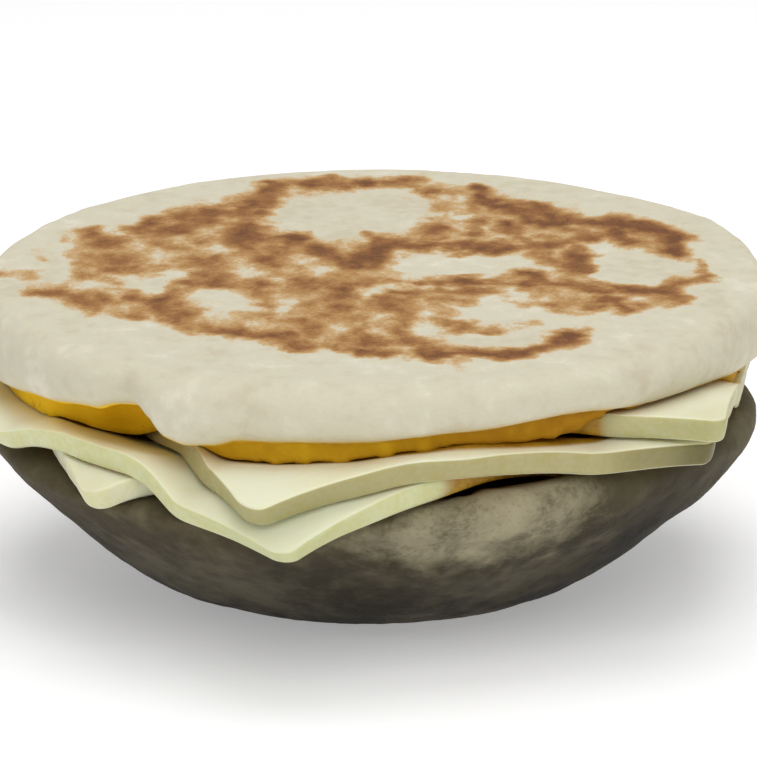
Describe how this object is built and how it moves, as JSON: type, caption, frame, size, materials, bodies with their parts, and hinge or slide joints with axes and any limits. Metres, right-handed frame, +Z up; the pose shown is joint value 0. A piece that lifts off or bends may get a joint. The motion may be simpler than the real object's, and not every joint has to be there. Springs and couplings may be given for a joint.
{
  "type": "toasted flatbread sandwich",
  "caption": "Toasted round flatbread sandwich: griddled bread halves around soft cheese slices whose corners hang out past the rim.",
  "frame": {"origin": "centre of the flat spot the sandwich rests on", "axes": "+Z up out of the browned top, -Y the front, where the cheese corners hang out"},
  "size_m": [0.1069, 0.1063, 0.0435],
  "materials": {
    "lower_bread": "toasted bread, darker and browner towards the base",
    "upper_bread": "pale soft bread with griddle-browned patches on its flat top",
    "cheese": "soft, slightly waxy pale cheese"
  },
  "bodies": {
    "root": {"lower_bread": "lower_bread", "cheese_slice_lowest": "cheese", "cheese_slice_lower": "cheese", "cheese_slice_upper": "cheese", "cheese_slice_top": "cheese", "upper_bread": "upper_bread"}
  },
  "joints": []
}
